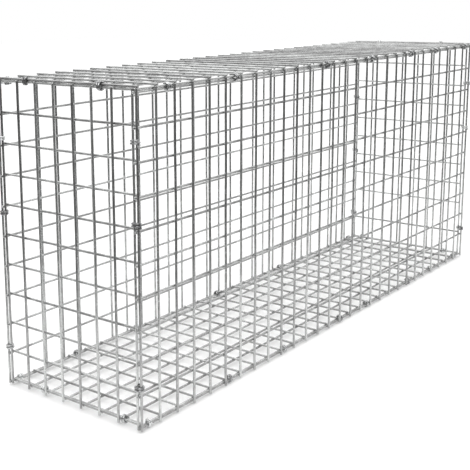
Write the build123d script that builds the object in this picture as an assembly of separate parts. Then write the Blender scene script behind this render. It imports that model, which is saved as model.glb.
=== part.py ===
from build123d import *
import os

# Welded wire basket: six mesh panels held together along every edge by wire rings.
# Millimetres. Origin at the centre of the footprint on the floor, +Z up, front towards -Y.

# Sizes between the centres of the outermost wires
length = 1200
width = 290
height = 500

# Mesh
cells_along = 28
cells_across = 7
cells_up = 10
wire = 3.5
stub = 2
foot = 4.5

# Spacing of the right-hand end, counted down from its top wire
close_cell = 47
close_cells = 8
wide_cell = 72

# Rings
ring_wire = 2.8
ring_inside = 11.9
ring_floor_gap = 0.3

# Clearance between neighbouring panels
gap = 0.3

# Ring places, counted in cells along each edge from the front or left-hand corner,
# and down from the top on the upright edges
top_front_rings = (1.7, 5.7, 12.5, 16.6, 20.7, 23.6, 27.5)
top_back_rings = (0.45, 6.5, 11.5, 16.5, 21.5, 26.5)
top_end_rings = (1.6, 5.6)
bottom_front_rings = (0.5, 5.4, 9.4, 14.2, 16.8, 21.4, 24.2, 27.3)
bottom_back_rings = (0.4, 3.6, 7.45, 13.7, 19.5, 27.3)
bottom_left_rings = (0.8, 5.2)
bottom_right_rings = (0.8, 6.4)
front_left_rings = (1.41, 3.79, 8.73)
back_left_rings = (1.75, 4.2, 8.76)
front_right_rings = (1.69, 3.8, 8.7)
back_right_rings = (2.65, 5.4, 8.7)

# Levels that follow from the sizes above
half_x = length / 2
half_y = width / 2
pair = wire + gap
long_low = foot + wire / 2
end_low = long_low + wire
side_top = end_low + height + wire / 2
lid_long = side_top + gap + wire / 2
lid_cross = lid_long + wire
cell_x = length / cells_along
cell_z = height / cells_up

# The outer wire of a panel is the upright one, so its level wires lie one wire further in
inner_x = half_x - wire
inner_y = half_y - wire
inside_x = inner_x - pair
inside_y = inner_y - pair


def spread(half, cells):
    return [-half + 2 * half * i / cells for i in range(cells + 1)]


def mesh(runs, run_span, crosses, cross_span):
    """Bars along X in the first layer, bars along Y laid on them, welded where they cross."""
    bars = []
    run_length = run_span[1] - run_span[0]
    cross_length = cross_span[1] - cross_span[0]
    for y in runs:
        middle = (run_span[0] + run_span[1]) / 2
        bars.append(Pos(middle, y, wire / 2) * Box(run_length, wire, wire))
    for x in crosses:
        middle = (cross_span[0] + cross_span[1]) / 2
        bars.append(Pos(x, middle, 1.5 * wire) * Box(wire, cross_length, wire))
    return bars[0].fuse(*bars[1:])


def upright(panel, origin, inwards):
    """Stands a flat panel up: its X becomes +Z and its second layer faces inwards."""
    return Plane(origin=origin, x_dir=(0, 0, 1), z_dir=inwards).location * panel


def ring(centre, along):
    """One closed ring around a pair of edge wires, lying across the edge."""
    up = (0, 0, 1) if along != (0, 0, 1) else (0, 1, 0)
    plane = Plane(origin=centre, x_dir=up, z_dir=along)
    across_inside = ring_inside / 2
    outline = RegularPolygon(across_inside + ring_wire, 6, major_radius=False, rotation=30)
    hole = RegularPolygon(across_inside, 6, major_radius=False, rotation=30)
    return plane.location * extrude(outline - hole, ring_wire / 2, both=True)


def write(name, shape):
    export_step(shape, f"parts/{name}.step")


def write_rings(name, centres, along):
    write(name, Compound(children=[ring(centre, along) for centre in centres]))


os.makedirs("parts", exist_ok=True)

# Front and back
levels = [long_low + cell_z * i for i in range(cells_up + 1)]
side_reach = half_x + wire / 2 + stub
long_side = mesh(spread(half_x, cells_along), (0, side_top), levels, (-side_reach, side_reach))
skin = wire / 2
write("front_mesh", upright(long_side, (0, -half_y - skin, 0), (0, 1, 0)))
write("back_mesh", upright(long_side, (0, half_y + skin, 0), (0, -1, 0)))

# Ends, standing between the front and the back
end_posts = spread(inside_y, cells_across)
end_reach = inside_y + skin
end_span = (wire, side_top)
even_levels = [end_low + cell_z * i for i in range(cells_up + 1)]
end_top = even_levels[-1]
odd_levels = [end_top - close_cell * i for i in range(close_cells + 1)]
odd_levels.append(odd_levels[-1] - wide_cell)
odd_levels.append(end_low)
left_end = mesh(end_posts, end_span, even_levels, (-end_reach, end_reach))
right_end = mesh(end_posts, end_span, odd_levels, (-end_reach, end_reach))
write("left_end_mesh", upright(left_end, (-half_x - skin, 0, 0), (1, 0, 0)))
write("right_end_mesh", upright(right_end, (half_x + skin, 0, 0), (-1, 0, 0)))

# Base, inside the four sides
base_x = inside_x + skin
base = mesh(end_posts, (-base_x, base_x), spread(inside_x, cells_along), (-end_reach, end_reach))
write("base_mesh", Pos(0, 0, foot) * base)

# Lid, lying over the top wires of the four sides
lid_x = inner_x + skin + stub
lid_y = inner_y + skin + stub
lid = mesh(spread(inner_y, cells_across), (-lid_x, lid_x), spread(inner_x, cells_along), (-lid_y, lid_y))
write("lid_mesh", Pos(0, 0, side_top + gap) * lid)

# Rings along the edges that run left to right
ring_rise = ring_inside / 2 + ring_wire + ring_floor_gap
top_z = (levels[-1] + lid_long) / 2
low_y = inner_y - pair / 2
edges_along_x = (
    ("rings_top_front", top_front_rings, -inner_y, top_z),
    ("rings_top_back", top_back_rings, inner_y, top_z),
    ("rings_bottom_front", bottom_front_rings, -low_y, ring_rise),
    ("rings_bottom_back", bottom_back_rings, low_y, ring_rise),
)
for name, places, y, z in edges_along_x:
    write_rings(name, [(cell_x * p - half_x, y, z) for p in places], (1, 0, 0))

# Rings along the edges that run front to back
cell_y = 2 * inside_y / cells_across
end_top_z = (end_top + lid_cross) / 2
low_x = inner_x - pair / 2
edges_along_y = (
    ("rings_top_left", top_end_rings, -inner_x, end_top_z),
    ("rings_top_right", top_end_rings, inner_x, end_top_z),
    ("rings_bottom_left", bottom_left_rings, -low_x, ring_rise + wire),
    ("rings_bottom_right", bottom_right_rings, low_x, ring_rise + wire),
)
for name, places, x, z in edges_along_y:
    write_rings(name, [(x, cell_y * p - inside_y, z) for p in places], (0, 1, 0))

# Rings on the four upright edges
post_y = (half_y + inside_y) / 2
posts = (
    ("rings_front_left", front_left_rings, -half_x, -post_y),
    ("rings_back_left", back_left_rings, -half_x, post_y),
    ("rings_front_right", front_right_rings, half_x, -post_y),
    ("rings_back_right", back_right_rings, half_x, post_y),
)
for name, places, x, y in posts:
    write_rings(name, [(x, y, levels[-1] - cell_z * p) for p in places], (0, 0, 1))
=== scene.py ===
import math
import random

import bpy
from mathutils import Matrix, Vector


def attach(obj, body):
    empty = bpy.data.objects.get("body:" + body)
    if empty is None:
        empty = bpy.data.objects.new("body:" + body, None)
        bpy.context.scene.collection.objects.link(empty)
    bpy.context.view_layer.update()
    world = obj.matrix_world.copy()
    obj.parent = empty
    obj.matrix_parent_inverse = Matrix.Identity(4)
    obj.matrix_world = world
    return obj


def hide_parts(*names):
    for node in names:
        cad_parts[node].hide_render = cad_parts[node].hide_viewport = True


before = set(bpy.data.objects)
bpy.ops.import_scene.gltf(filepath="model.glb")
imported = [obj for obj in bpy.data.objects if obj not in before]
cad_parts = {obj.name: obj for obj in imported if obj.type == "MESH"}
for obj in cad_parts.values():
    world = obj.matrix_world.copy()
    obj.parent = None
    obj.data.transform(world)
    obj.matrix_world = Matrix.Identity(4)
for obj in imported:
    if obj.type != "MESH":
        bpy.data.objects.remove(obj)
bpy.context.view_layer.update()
random.seed(11)

# Sizes in metres that the CAD model has too
HALF_X = 0.600
HALF_Y = 0.145
HEIGHT = 0.5
WIRE = 0.0035
GAP = 0.0003
STUB = 0.002
FOOT = 0.0045
LONG_CELLS = 28
END_CELLS = 7
ROWS = 10
CLOSE_ROWS = 8
CLOSE_ROW = 0.047
WIDE_ROW = 0.072

# Sizes in metres that differ from the CAD model's, to look as the photograph does
SEEN_WIRE = 0.0041
SEEN_FOOT = 0.0026
LID_DROP = 0.003
RING_WIRE = 0.0031
RING_LOWEST = 0.0002
RING_PLAY = 0.0016
RING_ROOM = 0.0002
RING_LEAN = 0.0004

# Levels that follow from them
HALF_WIRE = WIRE / 2
PAIR = WIRE + GAP
CELL_Z = HEIGHT / ROWS
LONG_LOW = FOOT + HALF_WIRE
END_LOW = LONG_LOW + WIRE
SIDE_TOP = END_LOW + HEIGHT + HALF_WIRE
LID_LONG = SIDE_TOP + GAP + HALF_WIRE - LID_DROP
LID_CROSS = LID_LONG + WIRE
INNER_X = HALF_X - WIRE
INNER_Y = HALF_Y - WIRE
INSIDE_X = INNER_X - PAIR
INSIDE_Y = INNER_Y - PAIR

# Drawing of the wires, in metres unless said otherwise
STEP = 0.04
LEAST_STEPS = 8
CUT_EDGE = 0.0003
ANY_PHASE = (0, 6.28)
BENDS = (1.2, 2.6)
BEND_SIDEWAYS_MM = (0.1, 0.45)
BEND_OUT_MM = (0.05, 0.25)
WELD_WIDE = 1.3
WELD_HIGH = 0.8
WELD_SIZES = (0.9, 1.15)
COIL_TURNS = (1.85, 2.15)
COIL_SIZES = (0.97, 1.03)
COIL_LEAN = 0.07
COIL_LEAD = 1.22
COIL_STEPS = 26

# Studio
AWAY_X, AWAY_Y = 0.72, 0.69
BEHIND = (-0.1, 0.75)
ABOVE = (0.25, 0.85)
ROOM_DIM = 0.13
OVERHEAD = 1.15
FLOOR_LEFT = -0.95
FLOOR_FRONT = -0.65
FLOOR_FAR = 9
FLOOR_GREY = 0.88
FLOOR_LIFT = 0.13
LAMP_TARGET = (0, 0, 0.3)


def add_object(name, data):
    obj = bpy.data.objects.new(name, data)
    bpy.context.scene.collection.objects.link(obj)
    return obj


# Camera, from the vanishing points and wires of the photograph
def make_camera():
    data = bpy.data.cameras.new("camera")
    cam = add_object("camera", data)
    rows = (
        (0.651812, 0.151122, -0.743171, -1.58156),
        (-0.758171, 0.106818, -0.643247, -0.98656),
        (-0.017825, 0.982727, 0.184202, 0.63821),
        (0, 0, 0, 1),
    )
    cam.matrix_world = Matrix(rows)
    data.sensor_fit = "HORIZONTAL"
    data.sensor_width = 36
    data.lens = 71.704
    data.shift_x = 0.21643
    data.shift_y = -0.1361
    data.clip_start = 0.05
    data.clip_end = 50
    bpy.context.scene.camera = cam


# Mesh building
class Builder:
    """Collects tubes and welds into one mesh."""

    def __init__(self):
        self.verts = []
        self.faces = []
        self.tones = []

    def add(self, point, tone):
        self.verts.append(point)
        self.tones.append(tone)

    def tube(self, points, radius, tone, sides=10):
        """A round wire along the points. Its short end pieces keep smooth shading off the cuts."""
        base = len(self.verts)
        first = points[0] + (points[1] - points[0]).normalized() * CUT_EDGE
        last = points[-1] + (points[-2] - points[-1]).normalized() * CUT_EDGE
        points = [points[0], first, *points[1:-1], last, points[-1]]
        count = len(points)
        side = None
        for i, p in enumerate(points):
            nxt = points[min(i + 1, count - 1)]
            prv = points[max(i - 1, 0)]
            along = (nxt - prv).normalized()
            if side is None:
                ref = Vector((0, 0, 1)) if abs(along.z) < 0.9 else Vector((1, 0, 0))
                side = along.cross(ref).normalized()
            side = (side - along * side.dot(along)).normalized()
            other = along.cross(side)
            for s in range(sides):
                a = 2 * math.pi * s / sides
                self.add(p + side * (math.cos(a) * radius) + other * (math.sin(a) * radius), tone)
        for i in range(count - 1):
            for s in range(sides):
                a = base + i * sides + s
                b = base + i * sides + (s + 1) % sides
                self.faces.append((a, b, b + sides, a + sides))
        self.faces.append(tuple(base + s for s in reversed(range(sides))))
        end = base + (count - 1) * sides
        self.faces.append(tuple(end + s for s in range(sides)))

    def blob(self, centre, axes, tone, rings=4, sides=8):
        """A small rounded lump of zinc and weld."""
        base = len(self.verts)
        u, v, w = axes
        self.add(centre + w, tone)
        for i in range(1, rings):
            polar = math.pi * i / rings
            for s in range(sides):
                a = 2 * math.pi * s / sides
                flat = u * math.cos(a) + v * math.sin(a)
                self.add(centre + flat * math.sin(polar) + w * math.cos(polar), tone)
        self.add(centre - w, tone)
        first = base + 1
        for s in range(sides):
            self.faces.append((base, first + s, first + (s + 1) % sides))
        for i in range(rings - 2):
            for s in range(sides):
                a = first + i * sides + s
                b = first + i * sides + (s + 1) % sides
                self.faces.append((a, a + sides, b + sides, b))
        tail = len(self.verts) - 1
        low = first + (rings - 2) * sides
        for s in range(sides):
            self.faces.append((tail, low + (s + 1) % sides, low + s))

    def make(self, name, material, nodes):
        mesh = bpy.data.meshes.new(name)
        mesh.from_pydata([tuple(v) for v in self.verts], [], self.faces)
        attribute = mesh.attributes.new("tone", "FLOAT", "POINT")
        attribute.data.foreach_set("value", self.tones)
        mesh.polygons.foreach_set("use_smooth", [True] * len(self.faces))
        mesh.materials.append(material)
        obj = add_object(name, mesh)
        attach(obj, "root")
        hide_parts(*nodes)


def spread(half, cells):
    return [-half + 2 * half * i / cells for i in range(cells + 1)]


def wavy(start, end, off_a, off_b, steps):
    """A straight drawn wire with the faint bends that straightening leaves."""
    pa, pb = random.uniform(*ANY_PHASE), random.uniform(*ANY_PHASE)
    fa, fb = random.uniform(*BENDS), random.uniform(*BENDS)
    amp_a = random.uniform(*BEND_SIDEWAYS_MM) * 1e-3
    amp_b = random.uniform(*BEND_OUT_MM) * 1e-3
    points = []
    for i in range(steps + 1):
        t = i / steps
        fade = math.sin(math.pi * t) ** 0.5
        da = amp_a * math.sin(2 * math.pi * fa * t + pa) * fade
        db = amp_b * math.sin(2 * math.pi * fb * t + pb) * fade
        points.append(start.lerp(end, t) + off_a * da + off_b * db)
    return points


def panel(name, material, node, first, first_span, second, second_span, place):
    """Wires along local X on the first level and along local Y on the second, with their welds."""
    b = Builder()
    turn = place.to_3x3()
    lx, ly, lz = (turn @ Vector(v) for v in ((1, 0, 0), (0, 1, 0), (0, 0, 1)))

    def draw(start, end, sideways):
        start, end = place @ Vector(start), place @ Vector(end)
        steps = max(LEAST_STEPS, int((end - start).length / STEP))
        b.tube(wavy(start, end, sideways, lz, steps), SEEN_WIRE / 2, random.random())

    for y in first:
        draw((first_span[0], y, HALF_WIRE), (first_span[1], y, HALF_WIRE), ly)
    for x in second:
        draw((x, second_span[0], 3 * HALF_WIRE), (x, second_span[1], 3 * HALF_WIRE), lx)
    for y in first:
        for x in second:
            size = random.uniform(*WELD_SIZES)
            centre = place @ Vector((x, y, 2 * HALF_WIRE))
            wide_x = lx * HALF_WIRE * WELD_WIDE * size
            wide_y = ly * HALF_WIRE * WELD_WIDE * size
            b.blob(centre, (wide_x, wide_y, lz * HALF_WIRE * WELD_HIGH), random.random())
    b.make(name, material, [node])


def ring_points(centre, along, half_long, half_short, turns, lead, start):
    """A crimped ring: an oval coil of about two turns lying across the edge."""
    ref = Vector((0, 0, 1)) if abs(along.z) < 0.9 else Vector((0, 1, 0))
    u = (ref - along * ref.dot(along)).normalized()
    v = along.cross(u)
    steps = int(COIL_STEPS * turns)
    points = []
    for i in range(steps + 1):
        t = i / steps
        a = start + 2 * math.pi * turns * t
        shift = along * (lead * turns * (t - 0.5))
        points.append(centre + u * math.cos(a) * half_long + v * math.sin(a) * half_short + shift)
    return points


def ring_row(node, centres, along, apart):
    """Rings that hold two wires whose centres are this far apart."""
    b = Builder()
    half_short = (WIRE + RING_WIRE) / 2 + RING_PLAY
    half_long = max((apart + WIRE + RING_WIRE) / 2 + RING_ROOM, half_short)
    for centre in centres:
        lean = Vector([random.uniform(-COIL_LEAN, COIL_LEAN) for _ in range(3)])
        axis = (Vector(along) + lean).normalized()
        turns = random.uniform(*COIL_TURNS)
        size = random.uniform(*COIL_SIZES)
        points = ring_points(
            centre, axis, half_long * size, half_short * size, turns,
            RING_WIRE * COIL_LEAD, random.uniform(*ANY_PHASE),
        )
        b.tube(points, RING_WIRE / 2, random.random())
    b.make(node + "_coils", ring_zinc_painted_glints, [node])


# Shader nodes
def add_node(nt, kind, inputs=(), **values):
    """A node with its properties set, and each input linked or given its value."""
    n = nt.nodes.new(kind)
    for key, value in values.items():
        setattr(n, key, value)
    for key, value in dict(inputs).items():
        if isinstance(value, bpy.types.NodeSocket):
            nt.links.new(value, n.inputs[key])
        else:
            n.inputs[key].default_value = value
    return n


def math_node(nt, operation, *values):
    n = add_node(nt, "ShaderNodeMath", enumerate(values), operation=operation)
    return n.outputs[0]


def ramp_node(nt, value, from_range, to_range):
    inputs = {
        "Value": value,
        "From Min": from_range[0], "From Max": from_range[1],
        "To Min": to_range[0], "To Max": to_range[1],
    }
    return add_node(nt, "ShaderNodeMapRange", inputs).outputs["Result"]


# Materials
def zinc(name, low, high, roughness, patch_scale, dark_at, bright_at):
    """Galvanised wire: patchy grey zinc with a fine grain, each wire in its own tone. On the rings
    the patches run from near black to near white and are partly zinc and partly painted glints and
    painted shade.
    """
    mat = bpy.data.materials.new(name)
    mat.use_nodes = True
    nt = mat.node_tree
    bsdf = nt.nodes["Principled BSDF"]
    bsdf.inputs["Metallic"].default_value = 0.85
    bsdf.inputs["Specular IOR Level"].default_value = 0.5

    place = add_node(nt, "ShaderNodeTexCoord").outputs["Object"]
    patch_inputs = {"Vector": place, "Scale": patch_scale, "Detail": 5, "Roughness": 0.65}
    patches = add_node(nt, "ShaderNodeTexNoise", patch_inputs).outputs["Fac"]
    grain_inputs = {"Vector": place, "Scale": 900, "Detail": 3}
    grain = add_node(nt, "ShaderNodeTexNoise", grain_inputs).outputs["Fac"]
    tone = add_node(nt, "ShaderNodeAttribute", attribute_name="tone").outputs["Fac"]

    shade = math_node(nt, "MULTIPLY_ADD", tone, 0.35, patches)
    ramp = add_node(nt, "ShaderNodeValToRGB", {"Fac": shade})
    for stop, at, colour in zip(ramp.color_ramp.elements, (dark_at, bright_at), (low, high)):
        stop.position = at
        stop.color = (*colour, 1)
    nt.links.new(ramp.outputs["Color"], bsdf.inputs["Base Color"])
    nt.links.new(ramp_node(nt, patches, (0, 1), roughness), bsdf.inputs["Roughness"])
    bump = add_node(nt, "ShaderNodeBump", {"Height": grain, "Strength": 0.25, "Distance": 0.0002})
    nt.links.new(bump.outputs["Normal"], bsdf.inputs["Normal"])
    return mat


# Stage and light
def studio():
    """Bright behind the basket and overhead, dim behind the camera, and alike for every ray."""
    world = bpy.data.worlds.new("studio")
    bpy.context.scene.world = world
    world.use_nodes = True
    nt = world.node_tree
    nt.nodes.clear()
    way = add_node(nt, "ShaderNodeTexCoord").outputs["Generated"]
    split = add_node(nt, "ShaderNodeSeparateXYZ", {0: way})
    part_x = math_node(nt, "MULTIPLY", split.outputs["X"], AWAY_X)
    part_y = math_node(nt, "MULTIPLY", split.outputs["Y"], AWAY_Y)
    towards = math_node(nt, "ADD", part_x, part_y)
    behind = ramp_node(nt, towards, BEHIND, (ROOM_DIM, 1.0))
    overhead = ramp_node(nt, split.outputs["Z"], ABOVE, (0.0, OVERHEAD))
    strength = math_node(nt, "ADD", behind, overhead)
    room = add_node(nt, "ShaderNodeBackground", {"Color": (1, 1, 1, 1), "Strength": strength})
    add_node(nt, "ShaderNodeOutputWorld", {0: room.outputs[0]})


def floor():
    """A pale floor that looks white and still takes the basket's shadow."""
    mesh = bpy.data.meshes.new("floor")
    left, front, far = FLOOR_LEFT, FLOOR_FRONT, FLOOR_FAR
    corners = [(left, front, 0), (far, front, 0), (far, far, 0), (left, far, 0)]
    mesh.from_pydata(corners, [], [(0, 1, 2, 3)])
    plane = add_object("floor", mesh)
    mat = bpy.data.materials.new("floor")
    mat.use_nodes = True
    nt = mat.node_tree
    nt.nodes.clear()
    path = add_node(nt, "ShaderNodeLightPath")
    grey = (FLOOR_GREY, FLOOR_GREY, FLOOR_GREY, 1)
    diffuse = add_node(nt, "ShaderNodeBsdfDiffuse", {"Color": grey})
    seen = math_node(nt, "MAXIMUM", path.outputs["Is Camera Ray"], path.outputs["Is Glossy Ray"])
    seen = math_node(nt, "MAXIMUM", seen, path.outputs["Is Transmission Ray"])
    lift = math_node(nt, "MULTIPLY", seen, FLOOR_LIFT)
    glow = add_node(nt, "ShaderNodeEmission", {"Strength": lift})
    both = add_node(nt, "ShaderNodeAddShader", {0: diffuse.outputs[0], 1: glow.outputs[0]})
    add_node(nt, "ShaderNodeOutputMaterial", {0: both.outputs[0]})
    mesh.materials.append(mat)


def area(name, place, size, power):
    data = bpy.data.lights.new(name, "AREA")
    data.shape = "RECTANGLE"
    data.size, data.size_y = size
    data.energy = power
    lamp = add_object(name, data)
    lamp.location = place
    aim = Vector(LAMP_TARGET) - Vector(place)
    lamp.rotation_mode = "QUATERNION"
    lamp.rotation_quaternion = aim.to_track_quat("-Z", "Y")


bpy.context.scene.view_settings.view_transform = "Standard"
make_camera()
studio()
floor()
area("softbox_left", (-3.0, -0.5, 2.6), (2.0, 2.0), 30)
area("softbox_right", (1.5, -3.4, 2.2), (2.2, 1.6), 25)

zinc_wire = zinc("zinc_wire", (0.33, 0.33, 0.33), (0.66, 0.67, 0.665), (0.18, 0.34), 55, 0.42, 0.92)
# Ring wire: its near-black and near-white patches are partly patchy zinc and partly painted glints
# and painted shade
ring_zinc_painted_glints = zinc(
    "ring_wire_painted_glints", (0.16, 0.16, 0.165), (0.84, 0.85, 0.85), (0.08, 0.22), 200, 0.48, 0.86,
)

# Panels
levels = [LONG_LOW + CELL_Z * i for i in range(ROWS + 1)]
even = [END_LOW + CELL_Z * i for i in range(ROWS + 1)]
top = even[-1]
odd = [top - CLOSE_ROW * i for i in range(CLOSE_ROWS + 1)]
odd += [odd[-1] - WIDE_ROW, END_LOW]
long_posts = spread(HALF_X, LONG_CELLS)
end_posts = spread(INSIDE_Y, END_CELLS)
reach_x = HALF_X + HALF_WIRE + STUB
reach_y = INSIDE_Y + HALF_WIRE


def standing(x, y, inwards):
    """Local X goes up and local Z goes inwards."""
    up = Vector((0, 0, 1))
    inwards = Vector(inwards)
    sideways = inwards.cross(up)
    turn = Matrix((up, sideways, inwards)).transposed().to_4x4()
    return Matrix.Translation((x, y, 0)) @ turn


long_span = (-reach_x, reach_x)
end_span = (-reach_y, reach_y)
for side, out in (("front", -1), ("back", 1)):
    panel(side + "_wires", zinc_wire, side + "_mesh", long_posts, (SEEN_FOOT, SIDE_TOP),
          levels, long_span, standing(0, out * (HALF_Y + HALF_WIRE), (0, -out, 0)))
panel("left_end_wires", zinc_wire, "left_end_mesh", end_posts, (WIRE, SIDE_TOP),
      even, end_span, standing(-HALF_X - HALF_WIRE, 0, (1, 0, 0)))
panel("right_end_wires", zinc_wire, "right_end_mesh", end_posts, (WIRE, SIDE_TOP),
      odd, end_span, standing(HALF_X + HALF_WIRE, 0, (-1, 0, 0)))
panel("base_wires", zinc_wire, "base_mesh", end_posts, (-INSIDE_X - HALF_WIRE, INSIDE_X + HALF_WIRE),
      spread(INSIDE_X, LONG_CELLS), end_span, Matrix.Translation((0, 0, FOOT)))
lid_x = INNER_X + HALF_WIRE + STUB
lid_y = INNER_Y + HALF_WIRE + STUB
panel("lid_wires", zinc_wire, "lid_mesh", spread(INNER_Y, END_CELLS), (-lid_x, lid_x),
      spread(INNER_X, LONG_CELLS), (-lid_y, lid_y), Matrix.Translation((0, 0, LID_LONG - HALF_WIRE)))

# Rings
low_ring = (PAIR + WIRE) / 2 + RING_WIRE + RING_LOWEST + RING_LEAN
level_apart = LID_LONG - levels[-1]
top_z = (levels[-1] + LID_LONG) / 2
end_top_z = (top + LID_CROSS) / 2
cell_x = 2 * HALF_X / LONG_CELLS
cell_y = 2 * INSIDE_Y / END_CELLS
post_y = (HALF_Y + INSIDE_Y) / 2
post_apart = HALF_Y - INSIDE_Y


def along_x(name, places, y, z, apart):
    ring_row(name, [Vector((cell_x * p - HALF_X, y, z)) for p in places], (1, 0, 0), apart)


def along_y(name, places, x, z, apart):
    ring_row(name, [Vector((x, cell_y * p - INSIDE_Y, z)) for p in places], (0, 1, 0), apart)


def along_z(name, places, x, y):
    centres = [Vector((x, y, levels[-1] - CELL_Z * p)) for p in places]
    ring_row(name, centres, (0, 0, 1), post_apart)


low_y = INNER_Y - PAIR / 2
low_x = INNER_X - PAIR / 2
along_x("rings_top_front", (1.7, 5.7, 12.5, 16.6, 20.7, 23.6, 27.5), -INNER_Y, top_z, level_apart)
along_x("rings_top_back", (0.45, 6.5, 11.5, 16.5, 21.5, 26.5), INNER_Y, top_z, level_apart)
along_x("rings_bottom_front", (0.5, 5.4, 9.4, 14.2, 16.8, 21.4, 24.2, 27.3), -low_y, low_ring, PAIR)
along_x("rings_bottom_back", (0.4, 3.6, 7.45, 13.7, 19.5, 27.3), low_y, low_ring, PAIR)
along_y("rings_top_left", (1.6, 5.6), -INNER_X, end_top_z, level_apart)
along_y("rings_top_right", (1.6, 5.6), INNER_X, end_top_z, level_apart)
along_y("rings_bottom_left", (0.8, 5.2), -low_x, END_LOW, PAIR)
along_y("rings_bottom_right", (0.8, 6.4), low_x, END_LOW, PAIR)
along_z("rings_front_left", (1.41, 3.79, 8.73), -HALF_X, -post_y)
along_z("rings_back_left", (1.75, 4.2, 8.76), -HALF_X, post_y)
along_z("rings_front_right", (1.69, 3.8, 8.7), HALF_X, -post_y)
along_z("rings_back_right", (2.65, 5.4, 8.7), HALF_X, post_y)
